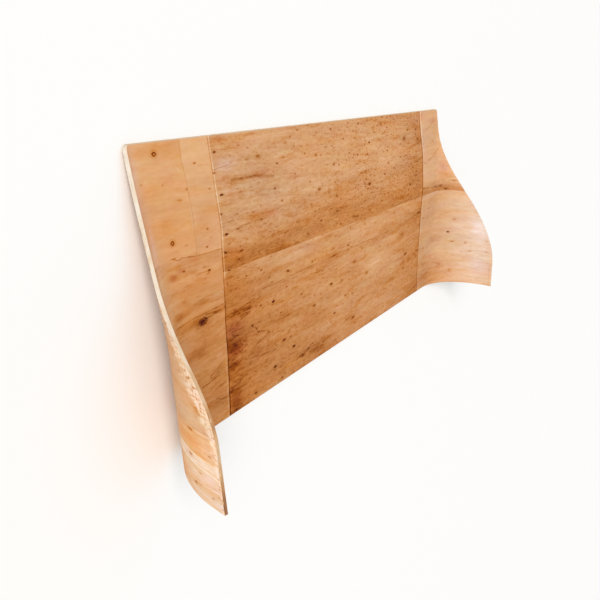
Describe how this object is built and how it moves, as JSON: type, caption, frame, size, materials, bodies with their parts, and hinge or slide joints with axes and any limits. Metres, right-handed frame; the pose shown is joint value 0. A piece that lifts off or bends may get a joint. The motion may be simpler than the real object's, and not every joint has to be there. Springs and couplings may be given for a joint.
{
  "type": "plywood sheet",
  "caption": "Bent plywood sheet lying on its back: a wide flat field with a soft bow, and a wing turned forward at each end and cut back in an S towards the top.",
  "frame": {"origin": "centre of the sheet's bounding box, on the floor that it lies on with its back down", "axes": "+X across the sheet towards its right wing as seen from the front, +Y up the sheet from its foot to its top edge, +Z out of its front face"},
  "size_m": [3.6586, 1.284, 0.4016],
  "materials": {
    "plywood": "satin"
  },
  "bodies": {
    "root": {"plywood_sheet": "plywood"}
  },
  "joints": []
}
